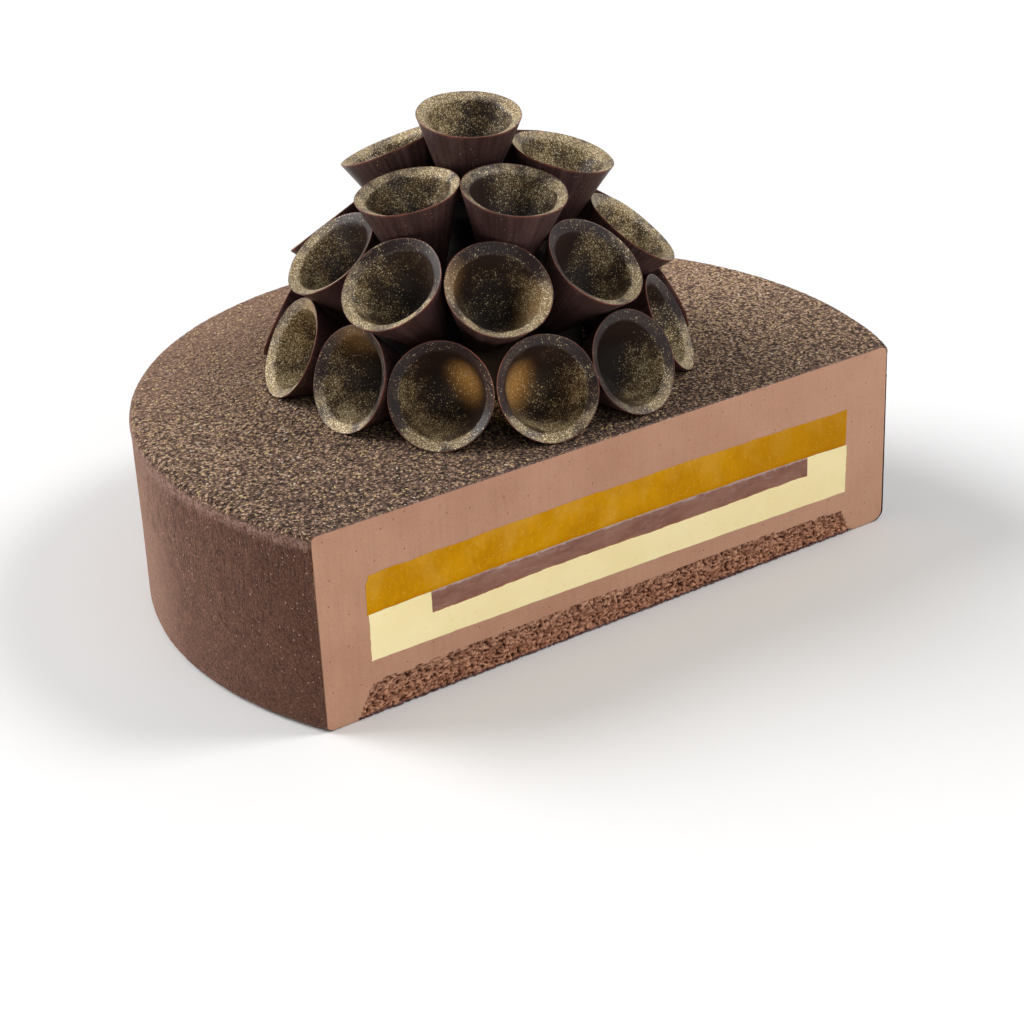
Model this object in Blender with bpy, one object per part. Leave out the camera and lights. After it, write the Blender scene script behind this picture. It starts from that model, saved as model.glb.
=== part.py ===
"""Half of a layered mousse cake with a mound of small chocolate cups on top.

Metres, +Z up. The cake stands on z = 0, its cut face looks along -Y, and the
origin is in the middle of the whole object's footprint.
Run with: blender --background --python part.py
"""
import math
import random

import bmesh
import bpy
from mathutils import Matrix, Vector, noise

# --- the cake, as one disc that a knife has cut off-centre ---
CAKE_RADIUS = 0.090
CAKE_HEIGHT = 0.0468
CUT_DISTANCE = 0.0403            # from the disc's axis to the knife's cut
TOP_EDGE_ROUNDING = 0.0024
BOTTOM_EDGE_ROUNDING = 0.0016
ROUND_SIDES = 88
EDGE_STEPS = 4
FITTING_GAP = 0.0003             # between neighbours, so that no two solids touch

FRONT_Y = -(CAKE_RADIUS + CUT_DISTANCE) / 2
AXIS_Y = FRONT_Y + CUT_DISTANCE

# --- the layers inside, from the plate up ---
SPONGE_RADIUS_BOTTOM = 0.0818
SPONGE_RADIUS_TOP = 0.0785
SPONGE_HEIGHT = 0.0072
SPONGE_SHIFT = -0.0013           # along x, as the sponge and the insert lie off-centre
CREAM_BOTTOM = 0.0122
JELLY_BOTTOM = 0.0242
JELLY_TOP = 0.0334
FILLING_RADIUS = 0.0790          # of the cream and of the jelly on it
INSERT_BOTTOM = 0.0192
INSERT_RADIUS = 0.0672
INSERT_SHIFT = 0.0013
CROWN = 0.0012                   # the jelly stands this much higher in the middle
INSERT_CROWN = 0.0009
CREAM_CROWN = 0.0004
CREAM_SLOPE = -0.0136            # the cream's underside drops to the right
JELLY_SLOPE = -0.0030            # so does the jelly, a little
RIPPLE = 0.00025                 # waves in the insert's underside
RIPPLE_ALONG_X = 0.011
RIPPLE_ALONG_Y = 0.017
LAYER_RINGS = 2

# --- crumbs torn out of the sponge's cut face ---
CRUMB_RELIEF = 0.0007
CRUMB_SIZE = 0.0035
CRUMB_COLUMNS = 66
CRUMB_ROWS = 5
CRUMB_SEED = 5
LUMP_SHARE = 0.7                 # of the relief, in lumps of a crumb's size
GRAIN_SHARE = 0.4                # of the relief, at random
KNIFE_MARGIN = 0.004             # how far a cutter reaches past what it cuts

# --- one chocolate cup: a cone with a bowl in it and a bevelled lip, mouth along +Z ---
CUP_RADIUS = 0.0122
CUP_LENGTH = 0.0210
CUP_END_RADIUS = 0.0046
CUP_SIDES = 20
CUP_END_ROUNDING = 0.0014
LIP_WIDTH = 0.0024
LIP_DEPTH = 0.0012
HOLLOW_DEPTH = 0.0126
BOWL_STEPS = ((0.35, 0.84), (0.68, 0.62), (0.92, 0.32))   # share of depth, of radius

# --- the mound: rings of cups about one upright axis, mouths outward ---
MOUND_X = -0.0011
MOUND_Y = AXIS_Y + 0.0140
CORE_SIDES = 20
# Radius and height over the cake's top: a stepped cone that narrows between the
# rings of cups, with a stem up to the top cup's end.
CORE_OUTLINE = ((0.0250, 0.0), (0.0250, 0.0070), (0.0232, 0.0130), (0.0187, 0.0170),
                (0.0187, 0.0245), (0.0129, 0.0268), (0.0096, 0.0308), (0.0093, 0.0392))

# Heights are of the mouth's middle over the cake's top; tilts are of the mouth's
# direction over the level. "stands_off" holds the cups that stand off the even
# ring: degrees along the ring, degrees turned and tilted, then metres up and out.
RINGS = (
    dict(name="low", cups=12, radius=0.0468, height=0.0114, tilt=26, first=15,
         stands_off={0: (0.2, 0, 0, 0, 0), 4: (-0.5, 0, 0, 0, 0.0006),
                     5: (-1, 4, 2, -0.0004, -0.0008),
                     6: (1, -10, -3, 0, -0.0008), 7: (0.1, -5, -4, 0.0002, 0.0014),
                     8: (-0.8, 3, 1, 0, 0.0002), 9: (-0.6, -5, 2, -0.0002, -0.0004),
                     10: (1, -3, 1, 0, -0.0012), 11: (0.7, 0, 0, 0, 0.0004)}),
    dict(name="middle", cups=9, radius=0.0364, height=0.0322, tilt=52, first=6,
         stands_off={0: (1, 0, 0, 0.0004, 0.0006), 1: (1.4, 1, -1, 0.0010, 0.0006),
                     3: (-1, 0, 0, 0.0002, 0.0004), 4: (-2, 8, 1, 0.0004, -0.0012),
                     5: (1, -9, -1, 0.0010, 0.0028), 6: (-3, 10, -2, 0.0002, 0.0016),
                     7: (0, 3, -1, 0.0002, -0.0014), 8: (3, -7, 1, -0.0004, 0.0006)}),
    dict(name="upper", cups=5, radius=0.0217, height=0.0495, tilt=75, first=44,
         stands_off={0: (-2, 1, -3, 0.0016, -0.0012), 1: (3, 6, -6, 0.0018, 0),
                     2: (4, -8, 4, -0.0012, -0.0002), 3: (0, 13, 2, -0.0004, 0.0004),
                     4: (-3, -12, 0, 0.0014, -0.0008)}),
)
TOP_CUP = dict(along=223, radius=0.0019, height=0.0614, tilt=80, turned=29)


def clear_scene():
    for thing in list(bpy.data.objects):
        bpy.data.objects.remove(thing, do_unlink=True)


def srgb(red, green, blue):
    """A photo colour of 0 to 255 as the linear colour that a shader takes."""
    def linear(value):
        share = value / 255
        return share / 12.92 if share <= 0.04045 else ((share + 0.055) / 1.055) ** 2.4
    return linear(red), linear(green), linear(blue), 1.0


def make_material(name, colour, roughness, metallic=0.0):
    material = bpy.data.materials.new(name)
    material.use_nodes = True
    shader = material.node_tree.nodes["Principled BSDF"]
    shader.inputs["Base Color"].default_value = colour
    shader.inputs["Roughness"].default_value = roughness
    shader.inputs["Metallic"].default_value = metallic
    return material


def add_object(name, mesh, material=None):
    thing = bpy.data.objects.new(name, mesh)
    bpy.context.collection.objects.link(thing)
    if material:
        mesh.materials.clear()
        mesh.materials.append(material)
    return thing


def spun_mesh(name, profile, sides):
    """A closed solid of revolution; the profile runs from axis to axis."""
    builder = bmesh.new()
    points = [builder.verts.new((radius, 0, height)) for radius, height in profile]
    edges = [builder.edges.new(pair) for pair in zip(points, points[1:])]
    bmesh.ops.spin(builder, geom=points + edges, axis=(0, 0, 1), cent=(0, 0, 0),
                   steps=sides, angle=2 * math.pi, use_merge=True)
    bmesh.ops.remove_doubles(builder, verts=builder.verts, dist=1e-6)
    bmesh.ops.recalc_face_normals(builder, faces=builder.faces)
    mesh = bpy.data.meshes.new(name)
    builder.to_mesh(mesh)
    builder.free()
    return mesh


def difference(target, cutter):
    """Take the cutter out of the target and remove it."""
    modifier = target.modifiers.new("cut", 'BOOLEAN')
    modifier.operation = 'DIFFERENCE'
    modifier.solver = 'EXACT'
    modifier.object = cutter
    depsgraph = bpy.context.evaluated_depsgraph_get()
    cut_mesh = bpy.data.meshes.new_from_object(target.evaluated_get(depsgraph))
    target.modifiers.clear()
    target.data = cut_mesh
    bpy.data.objects.remove(cutter, do_unlink=True)


def quarter_turn(centre_radius, centre_height, rounding, start_degrees, steps):
    """Points of a quarter circle in the profile plane, turning upward."""
    points = []
    for step in range(steps + 1):
        angle = math.radians(start_degrees + 90 * step / steps)
        points.append((centre_radius + rounding * math.cos(angle),
                       centre_height + rounding * math.sin(angle)))
    return points


def shift_to_axis(mesh, along_x=0.0):
    mesh.transform(Matrix.Translation((along_x, AXIS_Y, 0)))


# --- surfaces that neighbouring layers share ---
def middle_share(x, y):
    """1 on the cake's axis, falling to 0 at the fillings' edge."""
    return 1 - (x * x + (y - AXIS_Y) ** 2) / FILLING_RADIUS ** 2


def cream_underside(x, y):
    return CREAM_BOTTOM + CREAM_SLOPE * x + CREAM_CROWN * middle_share(x, y)


def insert_underside(x, y):
    ripple = RIPPLE * math.sin(x / RIPPLE_ALONG_X) * math.cos(y / RIPPLE_ALONG_Y)
    return INSERT_BOTTOM + JELLY_SLOPE * x + INSERT_CROWN * middle_share(x, y) + ripple


def jelly_underside(x, y):
    return JELLY_BOTTOM + JELLY_SLOPE * x + CROWN * middle_share(x, y)


def jelly_top(x, y):
    return JELLY_TOP + JELLY_SLOPE * x + CROWN * middle_share(x, y)


def draped_disc(name, radius, underside, top, along_x=0.0):
    """A full disc whose faces follow two height functions."""
    shares = [ring / LAYER_RINGS for ring in range(LAYER_RINGS + 1)]
    profile = [(radius * share, 0.0) for share in shares]
    profile += [(radius * share, 1.0) for share in reversed(shares)]
    mesh = spun_mesh(name, profile, ROUND_SIDES)
    shift_to_axis(mesh, along_x)
    for vertex in mesh.vertices:
        height = top if vertex.co.z > 0.5 else underside
        vertex.co.z = height(vertex.co.x, vertex.co.y)
    return mesh


# --- cutters ---
def knife_block():
    """Everything in front of the cut, as one box."""
    side = 3 * CAKE_RADIUS
    builder = bmesh.new()
    bmesh.ops.create_cube(builder, size=side)
    bmesh.ops.translate(builder, verts=builder.verts,
                        vec=(0, FRONT_Y - side / 2, 0))
    mesh = bpy.data.meshes.new("knife")
    builder.to_mesh(mesh)
    builder.free()
    return add_object("knife", mesh)


def torn_block():
    """The box in front of the sponge, with a back face as rough as torn crumb."""
    rng = random.Random(CRUMB_SEED)
    half_width = SPONGE_RADIUS_BOTTOM + KNIFE_MARGIN
    low, high = -KNIFE_MARGIN, SPONGE_HEIGHT + KNIFE_MARGIN
    builder = bmesh.new()
    rows = []
    for row in range(CRUMB_ROWS + 1):
        height = low + (high - low) * row / CRUMB_ROWS
        line = []
        for column in range(CRUMB_COLUMNS + 1):
            x = -half_width + 2 * half_width * column / CRUMB_COLUMNS
            lump = noise.noise(Vector((x, height, 0)) / CRUMB_SIZE)
            grain = rng.uniform(-GRAIN_SHARE, GRAIN_SHARE)
            depth = CRUMB_RELIEF * (LUMP_SHARE + LUMP_SHARE * lump + grain)
            line.append(builder.verts.new((x, FRONT_Y + max(depth, 0), height)))
        rows.append(line)
    for lower, upper in zip(rows, rows[1:]):
        for column in range(CRUMB_COLUMNS):
            builder.faces.new((lower[column], lower[column + 1],
                               upper[column + 1], upper[column]))
    border = [edge for edge in builder.edges if edge.is_boundary]
    pulled = bmesh.ops.extrude_edge_only(builder, edges=border)["geom"]
    for item in pulled:
        if isinstance(item, bmesh.types.BMVert):
            item.co.y = FRONT_Y - CAKE_RADIUS
    bmesh.ops.holes_fill(builder, edges=[e for e in builder.edges if e.is_boundary])
    bmesh.ops.recalc_face_normals(builder, faces=builder.faces)
    mesh = bpy.data.meshes.new("torn")
    builder.to_mesh(mesh)
    builder.free()
    return add_object("torn", mesh)


# --- the cake's solids ---
def sponge_profile(margin):
    return [(0, -margin), (SPONGE_RADIUS_BOTTOM + margin, -margin),
            (SPONGE_RADIUS_TOP + margin, SPONGE_HEIGHT + margin),
            (0, SPONGE_HEIGHT + margin)]


def make_sponge():
    mesh = spun_mesh("sponge", sponge_profile(0), ROUND_SIDES)
    shift_to_axis(mesh, SPONGE_SHIFT)
    sponge = add_object("sponge", mesh)
    difference(sponge, torn_block())
    finish(sponge, "crumb", srgb(133, 92, 72), 0.95)


def make_layer(name, radius, underside, top, colour, roughness, along_x=0.0):
    layer = add_object(name, draped_disc(name, radius, underside, top, along_x))
    difference(layer, knife_block())
    finish(layer, name, colour, roughness)
    return layer


def finish(thing, material_name, colour, roughness, metallic=0.0):
    thing.data.materials.clear()
    thing.data.materials.append(
        make_material(material_name, colour, roughness, metallic))
    thing.data.name = thing.name


def make_cream():
    cream = make_layer("cream", FILLING_RADIUS, cream_underside,
                       lambda x, y: jelly_underside(x, y) - FITTING_GAP,
                       srgb(241, 219, 170), 0.5)
    pocket = draped_disc("pocket", INSERT_RADIUS + FITTING_GAP,
                         lambda x, y: insert_underside(x, y) - FITTING_GAP,
                         lambda x, y: jelly_underside(x, y) + FITTING_GAP, INSERT_SHIFT)
    difference(cream, add_object("pocket", pocket))


def make_fillings():
    make_cream()
    make_layer("chocolate_insert", INSERT_RADIUS, insert_underside,
               lambda x, y: jelly_underside(x, y) - FITTING_GAP,
               srgb(128, 92, 84), 0.6, INSERT_SHIFT)
    make_layer("fruit_jelly", FILLING_RADIUS, jelly_underside, jelly_top,
               srgb(190, 130, 8), 0.2)


def make_mousse(cup_places):
    low, high = BOTTOM_EDGE_ROUNDING, TOP_EDGE_ROUNDING
    profile = [(0, 0)]
    profile += quarter_turn(CAKE_RADIUS - low, low, low, -90, EDGE_STEPS - 1)
    profile += quarter_turn(CAKE_RADIUS - high, CAKE_HEIGHT - high, high, 0, EDGE_STEPS)
    profile.append((0, CAKE_HEIGHT))
    mesh = spun_mesh("mousse", profile, ROUND_SIDES)
    shift_to_axis(mesh)
    mousse = add_object("mousse", mesh)
    difference(mousse, knife_block())

    hollow = draped_disc("hollow", FILLING_RADIUS + FITTING_GAP,
                         lambda x, y: cream_underside(x, y) - FITTING_GAP,
                         lambda x, y: jelly_top(x, y) + FITTING_GAP)
    difference(mousse, add_object("hollow", hollow))
    base = spun_mesh("base", sponge_profile(FITTING_GAP), ROUND_SIDES)
    shift_to_axis(base, SPONGE_SHIFT)
    difference(mousse, add_object("base", base))
    for place in cup_places:
        difference(mousse, cup_dent(place))
    finish(mousse, "cocoa_velvet", srgb(112, 80, 66), 0.85)


# --- the mound ---
def cup_outside(margin):
    """The cup's outer profile, from the mouth's edge down to the axis."""
    end = CUP_END_RADIUS + margin
    bottom = -CUP_LENGTH - margin
    return [(CUP_RADIUS + margin, 0), (end, bottom + CUP_END_ROUNDING),
            (end - CUP_END_ROUNDING, bottom), (0, bottom)]


def cup_inside():
    """The cup's inner profile, from the bottom's middle up to the mouth's edge."""
    throat = CUP_RADIUS - LIP_WIDTH
    depth = HOLLOW_DEPTH - LIP_DEPTH
    points = [(CUP_RADIUS, 0), (throat, -LIP_DEPTH)]
    for depth_share, radius_share in BOWL_STEPS:
        points.append((throat * radius_share, -LIP_DEPTH - depth * depth_share))
    points.append((0, -HOLLOW_DEPTH))
    return list(reversed(points))


def cup_mesh():
    """The profile starts at the inner bottom, goes over the lip and ends outside."""
    return spun_mesh("cup", cup_inside() + cup_outside(0)[1:], CUP_SIDES)


def cup_dent(place):
    """The dent that a cup of the lowest ring presses into the soft top."""
    plug = [(0, FITTING_GAP), (CUP_RADIUS + FITTING_GAP, FITTING_GAP)]
    profile = plug + cup_outside(FITTING_GAP)
    dent = add_object("dent", spun_mesh("dent", profile, CUP_SIDES))
    dent.matrix_world = place
    return dent


def mouth_place(along, radius, height, tilt, turned):
    """Where a cup's mouth is, and which way it looks; angles in degrees."""
    angle = math.radians(along)
    spot = Vector((MOUND_X + radius * math.cos(angle),
                   MOUND_Y + radius * math.sin(angle), CAKE_HEIGHT + height))
    turn = Matrix.Rotation(math.radians(along + turned), 4, 'Z')
    lean = Matrix.Rotation(math.radians(90 - tilt), 4, 'Y')
    return Matrix.Translation(spot) @ turn @ lean


def ring_places(ring):
    places = []
    for index in range(ring["cups"]):
        shift, turned, tilted, up, out = ring["stands_off"].get(index, (0, 0, 0, 0, 0))
        along = ring["first"] + 360 * index / ring["cups"] + shift
        places.append(mouth_place(along, ring["radius"] + out, ring["height"] + up,
                                  ring["tilt"] + tilted, turned))
    return places


def place_cup(name, mesh, place, material):
    cup = add_object(name, mesh.copy(), material)
    cup.data.name = name
    cup.location = place.to_translation()
    cup.rotation_euler = place.to_euler()
    return cup


def make_cups(places):
    chocolate = make_material("dark_chocolate", srgb(52, 36, 32), 0.35)
    mesh = cup_mesh()
    for ring_name, ring in places.items():
        for index, place in enumerate(ring):
            place_cup(f"cup_{ring_name}_{index + 1:02d}", mesh, place, chocolate)


def make_core():
    """The cone of chocolate that the cups' narrow ends are stuck to."""
    foot = CAKE_HEIGHT + FITTING_GAP
    profile = [(0, foot)]
    profile += [(radius, foot + height) for radius, height in CORE_OUTLINE]
    profile.append((0, profile[-1][1]))
    mesh = spun_mesh("mound_core", profile, CORE_SIDES)
    mesh.transform(Matrix.Translation((MOUND_X, MOUND_Y, 0)))
    finish(add_object("mound_core", mesh), "core", srgb(60, 42, 36), 0.7)


def main():
    clear_scene()
    places = {ring["name"]: ring_places(ring) for ring in RINGS}
    places["top"] = [mouth_place(**TOP_CUP)]
    make_mousse(places["low"])
    make_sponge()
    make_fillings()
    make_core()
    make_cups(places)


main()
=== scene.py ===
# Half of a layered mousse cake with a mound of chocolate cups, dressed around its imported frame.
import math
import random

import bmesh
import bpy
from mathutils import Matrix, Vector, noise


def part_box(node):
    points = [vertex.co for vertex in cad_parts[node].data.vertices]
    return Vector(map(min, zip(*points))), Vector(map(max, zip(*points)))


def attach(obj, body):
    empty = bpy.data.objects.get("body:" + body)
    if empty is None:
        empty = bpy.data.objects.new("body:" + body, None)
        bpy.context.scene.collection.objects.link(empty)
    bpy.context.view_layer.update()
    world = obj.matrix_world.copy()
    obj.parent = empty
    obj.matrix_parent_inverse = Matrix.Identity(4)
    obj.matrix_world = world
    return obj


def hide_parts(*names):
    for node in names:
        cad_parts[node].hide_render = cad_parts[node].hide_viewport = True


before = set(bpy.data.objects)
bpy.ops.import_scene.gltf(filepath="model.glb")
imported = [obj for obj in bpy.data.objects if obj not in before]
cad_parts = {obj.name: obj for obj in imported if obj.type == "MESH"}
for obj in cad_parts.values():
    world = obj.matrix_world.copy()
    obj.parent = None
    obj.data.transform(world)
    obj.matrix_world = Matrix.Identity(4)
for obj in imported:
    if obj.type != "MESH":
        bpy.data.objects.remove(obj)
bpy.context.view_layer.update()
bpy.ops.object.select_all(action='DESELECT')
noise.seed_set(21)                     # unseeded, noise_vector changes with the clock

mm = 0.001
cakeLow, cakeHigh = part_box("mousse")
cakeRadius = (cakeHigh.x - cakeLow.x) / 2
cakeTop = cakeHigh.z
frontY = cakeLow.y                     # the knife's cut
axisY = cakeHigh.y - cakeRadius        # the whole disc's middle
cutDistance = axisY - frontY
coreLow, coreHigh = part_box("mound_core")
moundX, moundY = (coreLow.x + coreHigh.x) / 2, (coreLow.y + coreHigh.y) / 2
cameraTurn = math.radians(-34.7785)    # the photo's camera, round the upright


def asSeen(right, nearer, up):
    # a direction in the camera's terms
    return Vector((math.cos(cameraTurn) * right + math.sin(cameraTurn) * nearer,
                   math.sin(cameraTurn) * right - math.cos(cameraTurn) * nearer, up))


# handling of pieces
def takeUp(piece):
    bpy.ops.object.select_all(action='DESELECT')
    piece.select_set(True)
    bpy.context.view_layer.objects.active = piece


def nameIt(name):
    piece = bpy.context.object
    piece.name = name
    piece.data.name = name
    return piece


def openMesh(piece):
    takeUp(piece)
    bpy.ops.object.mode_set(mode='EDIT')
    bpy.ops.mesh.select_mode(type='VERT')


def closeMesh():
    bpy.ops.object.mode_set(mode='OBJECT')


def settle(piece):
    takeUp(piece)
    bpy.ops.object.transform_apply(location=True, rotation=True, scale=True)


def pickEdges(piece, wanted):
    # selects only the open edges whose two ends both pass the test
    bpy.ops.mesh.select_mode(type='EDGE')
    bpy.ops.mesh.select_all(action='DESELECT')
    mesh = bmesh.from_edit_mesh(piece.data)
    for edge in mesh.edges:
        if edge.is_boundary and all(wanted(corner.co) for corner in edge.verts):
            edge.select_set(True)
    bmesh.update_edit_mesh(piece.data)


def pickFaces(piece, wanted):
    bpy.ops.mesh.select_mode(type='FACE')
    bpy.ops.mesh.select_all(action='DESELECT')
    mesh = bmesh.from_edit_mesh(piece.data)
    for face in mesh.faces:
        if wanted(face.calc_center_median()):
            face.select_set(True)
    bmesh.update_edit_mesh(piece.data)


def pickedCorners(piece):
    return [corner for corner in bmesh.from_edit_mesh(piece.data).verts if corner.select]


def useModifier(piece, kind, **settings):
    takeUp(piece)
    modifier = piece.modifiers.new(kind.title(), kind)
    for key, value in settings.items():
        setattr(modifier, key, value)
    bpy.ops.object.modifier_apply(modifier=modifier.name)


def turnOutwards():
    bpy.ops.mesh.select_all(action='SELECT')
    bpy.ops.mesh.normals_make_consistent(inside=False)


def closeSeams(piece):
    openMesh(piece)
    bpy.ops.mesh.select_all(action='SELECT')
    bpy.ops.mesh.remove_doubles(threshold=0.01 * mm)
    turnOutwards()
    closeMesh()


def growRings(name, sides, points, middle, fill='NOTHING'):
    # a ring extruded through a list of radii and heights, left open for more editing
    x, y, foot = middle
    bpy.ops.mesh.primitive_circle_add(vertices=sides, radius=points[0][0], fill_type=fill,
                                      location=(x, y, foot + points[0][1]))
    piece = nameIt(name)
    settle(piece)
    openMesh(piece)
    if fill == 'TRIFAN':
        pickEdges(piece, lambda spot: True)       # only the outer edge grows
    else:
        bpy.ops.mesh.select_all(action='SELECT')
    for (before, low), (after, high) in zip(points, points[1:]):
        bpy.ops.mesh.extrude_region_move(TRANSFORM_OT_translate={"value": (0, 0, high - low)})
        bpy.ops.transform.resize(value=(after / before, after / before, 1),
                                 center_override=(x, y, foot + high))
    return piece


def smooth(piece, degrees):
    takeUp(piece)
    bpy.ops.object.shade_smooth_by_angle(angle=math.radians(degrees))


def outward(piece):
    # every corner's normal, read before any corner is moved
    return [corner.normal.copy() for corner in piece.data.vertices]


def keepValues(piece, name, values):
    # one number for each corner, or three
    single = len(values) == len(piece.data.vertices)
    made = piece.data.attributes.new(name, 'FLOAT' if single else 'FLOAT_VECTOR', 'POINT')
    made.data.foreach_set("value" if single else "vector", values)


def eased(value, low, high):
    share = min(max((value - low) / (high - low), 0), 1)
    return share * share * (3 - 2 * share)


def sway(place, size, row):
    # a smooth wander between about -1 and 1 along one line
    return noise.noise(Vector((place / size, row, 0.37)))


def standIn(piece, material, slotName, *nodes):
    wear(piece, material)
    settle(piece)
    if nodes:
        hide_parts(*nodes)
    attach(piece, "root")


# sockets that can be reckoned with
class Strand:
    def __init__(self, finish, socket):
        self.finish, self.socket = finish, socket

    def maths(self, operation, first, second):
        return self.finish.node("ShaderNodeMath", {"operation": operation}, {0: first, 1: second})

    def __add__(self, other):
        return self.maths('ADD', self, other)

    def __sub__(self, other):
        return self.maths('SUBTRACT', self, other)

    def __rsub__(self, other):
        return self.maths('SUBTRACT', other, self)

    def __mul__(self, other):
        return self.maths('MULTIPLY', self, other)

    __radd__ = __add__
    __rmul__ = __mul__

    def atMost(self, limit):
        return self.maths('MINIMUM', self, limit)


class Finish:
    def __init__(self, owner, shader="Principled BSDF", **fixed):
        owner.use_nodes = True
        self.owner = owner
        self.tree = owner.node_tree
        self.shader = self.tree.nodes[shader]
        self.colour = None
        self.give(**fixed)

    def node(self, kind, settings, inputs, output=0):
        made = self.tree.nodes.new(kind)
        for key, value in settings.items():
            setattr(made, key, value)
        for key, value in inputs.items():
            self.feed(made.inputs[key], value)
        return Strand(self, made.outputs[output])

    def feed(self, socket, value):
        if isinstance(value, Strand):
            self.tree.links.new(value.socket, socket)
        else:
            socket.default_value = value

    def give(self, **inputs):
        for key, value in inputs.items():
            self.feed(self.shader.inputs[key.replace("_", " ")], value)
        return self.owner

    def place(self):
        return self.node("ShaderNodeTexCoord", {}, {}, output=3)

    def own(self, name, output=2):
        # a value that the piece keeps for each corner, or with output 1 a vector
        return self.node("ShaderNodeAttribute", {"attribute_name": name}, {}, output)

    def stretch(self, place, scale):
        return self.node("ShaderNodeMapping", {}, {"Vector": place, "Scale": scale})

    def noise(self, place, size, detail=3.0, distortion=0.0):
        return self.node("ShaderNodeTexNoise", {}, {
            "Vector": place, "Scale": 1 / size, "Detail": detail,
            "Roughness": 0.55, "Distortion": distortion})

    def cells(self, place, size, output=0, flat=False):
        return self.node("ShaderNodeTexVoronoi", {"voronoi_dimensions": '2D' if flat else '3D'},
                         {"Vector": place, "Scale": 1 / size}, output)

    def between(self, value, low, high, toLow=0.0, toHigh=1.0):
        return self.node("ShaderNodeMapRange", {"interpolation_type": 'SMOOTHSTEP'}, {
            "Value": value, "From Min": low, "From Max": high,
            "To Min": toLow, "To Max": toHigh})

    def blend(self, share, first, second):
        first, second = (tint(*shade) if isinstance(shade, tuple) else shade
                         for shade in (first, second))
        return self.node("ShaderNodeMix", {"data_type": 'RGBA'},
                         {0: share, 6: first, 7: second}, output=2)

    def parts(self, place, axis):
        return self.node("ShaderNodeSeparateXYZ", {}, {0: place}, output=axis)

    def vectors(self, operation, first, second):
        return self.node("ShaderNodeVectorMath", {"operation": operation},
                         {0: first, 1: second}, output=1)

    def bump(self, height, depth, strength):
        return self.node("ShaderNodeBump", {},
                         {"Height": height, "Distance": depth, "Strength": strength})

    # a piece's own colour, built up from a ground
    def ground(self, share, first, second):
        self.colour = self.blend(share, first, second)

    def lay(self, share, shade):
        self.colour = self.blend(share, self.colour, shade)

    def layDots(self, rows, height):
        # flat dots on the cut: cell size, radius in cell widths, share of cells, strength,
        # tint and relief; they leave out the depth, so that they don't fade in it
        place = self.place()
        face = self.node("ShaderNodeCombineXYZ", {},
                         {0: self.parts(place, 0), 1: self.parts(place, 2)})
        for size, radius, share, strength, shade, relief in rows:
            near = self.between(self.cells(face, size, flat=True), 0.6 * radius, radius, 1.0, 0.0)
            chance = self.parts(self.cells(face, size, output=1, flat=True), 0)
            dots = near * self.between(chance, 1 - share, 1 - share + 0.02)
            self.lay(dots * strength, shade)
            height = height + dots * relief
        return height

    def finished(self, relief, depth, strength, **inputs):
        return self.give(Base_Color=self.colour, Normal=self.bump(relief, depth, strength),
                         **inputs)


def paint(name, **fixed):
    return Finish(bpy.data.materials.new(name), **fixed)


def tint(red, green, blue):
    # a colour as the eye reads it, 0 to 255, as the linear one that a shader takes
    def linear(value):
        share = value / 255
        return share / 12.92 if share <= 0.04045 else ((share + 0.055) / 1.055) ** 2.4
    return linear(red), linear(green), linear(blue), 1.0


def wear(piece, material):
    piece.data.materials.clear()
    piece.data.materials.append(material)


# the disc that the knife cut, as one shape for all its layers
def halfDisc(name, across, upright, deep, shape):
    # a grid over the cut face, its edge pulled back in steps to the round side
    bpy.ops.mesh.primitive_grid_add(x_subdivisions=across, y_subdivisions=upright, size=1,
                                    rotation=(math.pi / 2, 0, 0))
    piece = nameIt(name)
    settle(piece)
    openMesh(piece)
    pickEdges(piece, lambda spot: True)
    for step in range(deep):
        bpy.ops.mesh.extrude_region_move(TRANSFORM_OT_translate={"value": (0, 1, 0)})
    closeMesh()
    for corner in piece.data.vertices:
        side, back, up = corner.co
        corner.co = shape(2 * side, round(back) / deep, min(max(up + 0.5, 0), 1))
    closeSeams(piece)
    return piece


def onDisc(side, back, radius):
    # a place on the disc: side -1 to 1, back 0 at the cut and 1 at the far edge
    start = math.acos(cutDistance / radius)
    turn = start + (math.pi - start) * back
    return side * radius * math.sin(turn), axisY - radius * math.cos(turn)


layers = {
    "fillingRadius": 79.3 * mm, "insertRadius": 67.4 * mm, "deep": 8,
    # each surface's height, its slope to the right, its crown, and its wander along the cut
    # as heights and lengths in mm with a row of the noise
    "creamUnder": (12.2 * mm, -0.0136, 0.4 * mm, ((0.10, 4, 11), (0.05, 1.1, 12))),
    "insertUnder": (19.2 * mm, -0.0030, 0.9 * mm, ((0.16, 3, 21), (0.08, 1.0, 22))),
    "jellyUnder": (24.2 * mm, -0.0030, 1.2 * mm, ((0.10, 4, 31), (0.05, 1.2, 32))),
    "jellyUpper": (33.4 * mm, -0.0030, 1.2 * mm,
                   ((0.26, 7, 41), (0.16, 2.6, 42), (0.07, 0.9, 43))),
    "ripple": 0.25 * mm, "rippleX": 11 * mm, "rippleY": 17 * mm,   # under the insert
    "proud": 0.04 * mm,                # each layer stands this much before the one behind
    "jellyShift": -0.6 * mm, "creamShift": -0.2 * mm, "insertShift": 1.3 * mm,
    "endWear": 0.14 * mm, "endWearSize": 1.2 * mm,
    "cornerWear": 0.8 * mm, "cornerHeight": 2.2 * mm,   # the jelly's worn upper left corner
}
endShare = 0.97                        # where a layer's worn ends start on the cut


def surfaceOf(name, x, y):
    height, slope, crown, wander = layers[name]
    bow = 1 - (x * x + (y - axisY) ** 2) / layers["fillingRadius"] ** 2
    height += slope * x + crown * bow
    if name == "insertUnder":
        height += (layers["ripple"] * math.sin(x / layers["rippleX"])
                   * math.cos(y / layers["rippleY"]))
    return height + sum(rise * mm * sway(x, length * mm, row) for rise, length, row in wander)


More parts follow.
